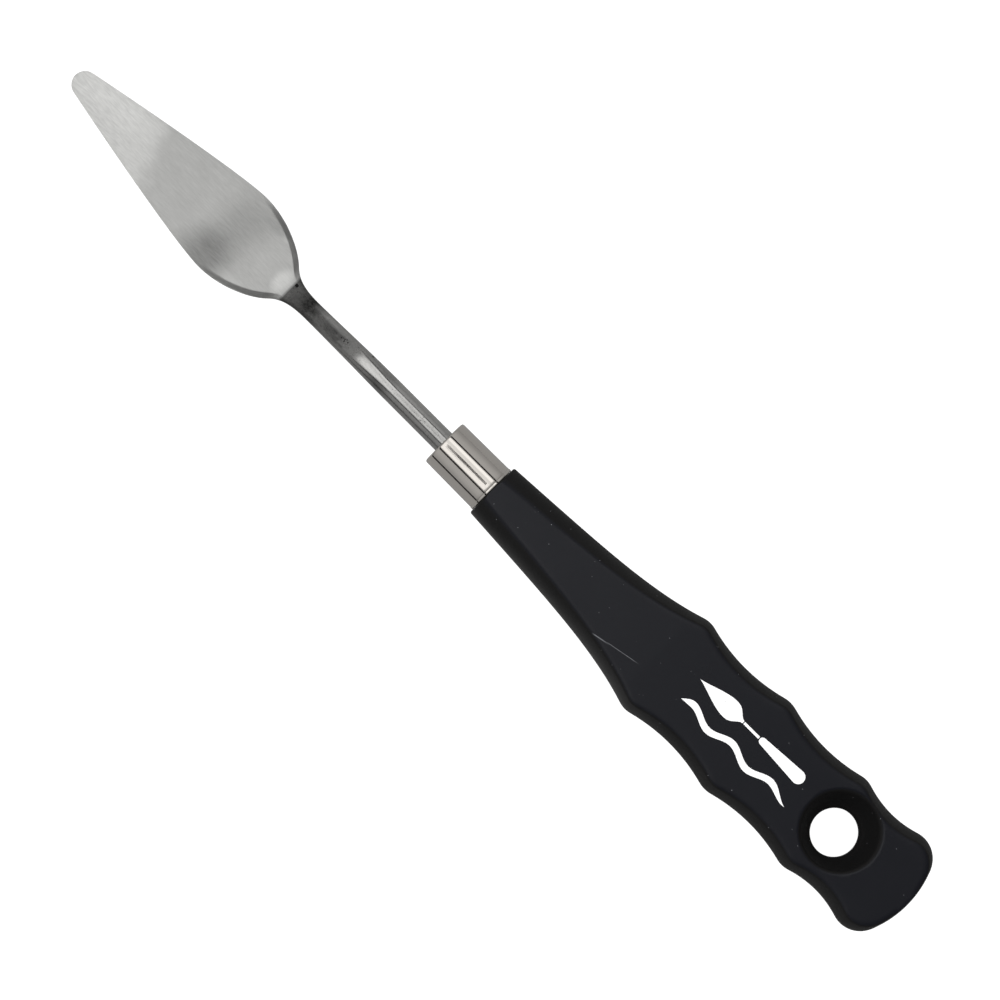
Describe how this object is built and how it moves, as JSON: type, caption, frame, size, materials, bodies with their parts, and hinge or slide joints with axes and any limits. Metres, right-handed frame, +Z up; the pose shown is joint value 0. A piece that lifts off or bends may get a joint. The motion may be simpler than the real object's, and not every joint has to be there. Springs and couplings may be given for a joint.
{
  "type": "palette knife",
  "caption": "Painting knife: springy trowel-shaped steel blade on a cranked round shank, nickel ferrule and black scalloped handle with a dished hanging hole.",
  "frame": {"origin": "under the middle of the knife's length, on the plane that its blade and handle rest on", "axes": "+X from the blade's tip to the handle's butt, +Z up out of the upper grip face, +Y across"},
  "size_m": [0.215, 0.0222, 0.0117],
  "materials": {
    "blade_steel": "fine brushed stainless steel, satin",
    "shank_steel": "drawn and forged steel, dull bright",
    "ferrule_nickel": "polished nickel plate",
    "handle_plastic": "satin black moulded plastic"
  },
  "bodies": {
    "handle": {"handle": "handle_plastic", "ferrule": "ferrule_nickel", "shank": "shank_steel"},
    "blade": {"blade": "blade_steel"}
  },
  "joints": [
    {"name": "blade_flex", "type": "hinge", "parent": "handle", "child": "blade", "pos_m": [-0.0515, 0, 0.002], "axis": [0, 1, 0], "range_deg": [0, 18], "stiffness_Nm_per_rad": 1}
  ]
}
